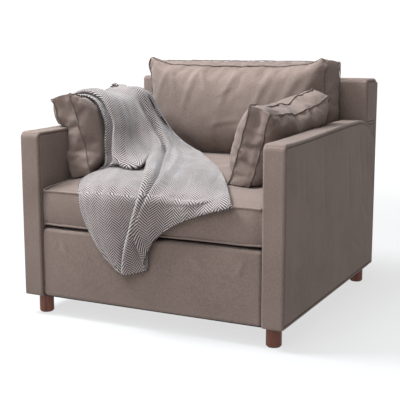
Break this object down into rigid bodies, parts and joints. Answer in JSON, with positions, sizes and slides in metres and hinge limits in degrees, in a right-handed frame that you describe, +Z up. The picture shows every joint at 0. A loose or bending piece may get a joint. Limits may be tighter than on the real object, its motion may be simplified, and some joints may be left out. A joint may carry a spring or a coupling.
{
  "type": "upholstered armchair",
  "caption": "Deep box-arm upholstered armchair with loose seat and back cushions, leaning toss pillows, a draped woven throw and short round timber feet.",
  "frame": {"origin": "on the floor, at the middle of the chair's footprint", "axes": "+Z up, +X to the chair's left arm as seen by a sitter facing away, the chair faces -Y"},
  "size_m": [0.96, 1.008, 0.876],
  "materials": {
    "cover_cloth": "brushed cotton weave, matt",
    "foam": "open-cell foam and polyester wadding",
    "frame_wood": "sawn beech",
    "board": "thin plywood and hardboard",
    "spring_steel": "bright drawn wire and plate",
    "webbing": "woven strap",
    "under_cloth": "black spun-bonded dust cover",
    "foot_wood": "walnut stain, satin",
    "glide": "nylon",
    "throw_weave": "black and white herringbone wool"
  },
  "bodies": {
    "chair": {"arm_band_cover_left": "cover_cloth", "arm_band_cover_right": "cover_cloth", "arm_edge_pad_left": "foam", "arm_edge_pad_right": "foam", "arm_front_post_left": "frame_wood", "arm_front_post_right": "frame_wood", "arm_inner_board_left": "board", "arm_inner_board_right": "board", "arm_inner_cover_left": "cover_cloth", "arm_inner_cover_right": "cover_cloth", "arm_inner_pad_left": "foam", "arm_inner_pad_right": "foam", "arm_outer_board_left": "board", "arm_outer_board_right": "board", "arm_outer_cover_left": "cover_cloth", "arm_outer_cover_right": "cover_cloth", "arm_outer_pad_left": "foam", "arm_outer_pad_right": "foam", "arm_top_rail_left": "frame_wood", "arm_top_rail_right": "frame_wood", "back_board": "board", "back_front_cover": "cover_cloth", "back_pad": "foam", "back_post_left": "frame_wood", "back_post_right": "frame_wood", "back_rail": "frame_wood", "back_rim_cover": "cover_cloth", "back_rim_pad": "foam", "back_tack_rail": "frame_wood", "back_top_rail": "frame_wood", "back_webbing": "webbing", "corner_blocks": "frame_wood", "deck_pad": "foam", "dust_cover": "under_cloth", "foot_bolts": "spring_steel", "foot_front_left": "foot_wood", "foot_front_right": "foot_wood", "foot_glides": "glide", "foot_plates": "spring_steel", "foot_rear_left": "foot_wood", "foot_rear_right": "foot_wood", "front_rail": "frame_wood", "front_rail_cover": "cover_cloth", "front_rail_pad": "foam", "outside_back_cover": "cover_cloth", "outside_back_pad": "foam", "seat_springs": "spring_steel", "side_rail_left": "frame_wood", "side_rail_right": "frame_wood", "spring_clips": "spring_steel"},
    "seat_cushion": {"seat_cushion_foam": "foam", "seat_cushion_cover": "cover_cloth"},
    "back_cushion": {"back_cushion_fill": "foam", "back_cushion_cover": "cover_cloth"},
    "pillow_left": {"pillow_left_insert": "foam", "pillow_left_cover": "cover_cloth"},
    "pillow_right": {"pillow_right_insert": "foam", "pillow_right_cover": "cover_cloth"},
    "throw": {"throw_blanket": "throw_weave"}
  },
  "joints": [
    {"name": "seat_cushion_lift", "type": "slide", "parent": "chair", "child": "seat_cushion", "axis": [0, 0, 1], "range_m": [0, 0.32]},
    {"name": "back_cushion_lift", "type": "slide", "parent": "seat_cushion", "child": "back_cushion", "axis": [0, 0, 1], "range_m": [0, 0.3]},
    {"name": "pillow_left_lift", "type": "slide", "parent": "seat_cushion", "child": "pillow_left", "axis": [0, 0, 1], "range_m": [0, 0.3]},
    {"name": "pillow_right_lift", "type": "slide", "parent": "seat_cushion", "child": "pillow_right", "axis": [0, 0, 1], "range_m": [0, 0.3]},
    {"name": "throw_lift", "type": "slide", "parent": "pillow_left", "child": "throw", "axis": [0, 0, 1], "range_m": [0, 0.25]}
  ]
}
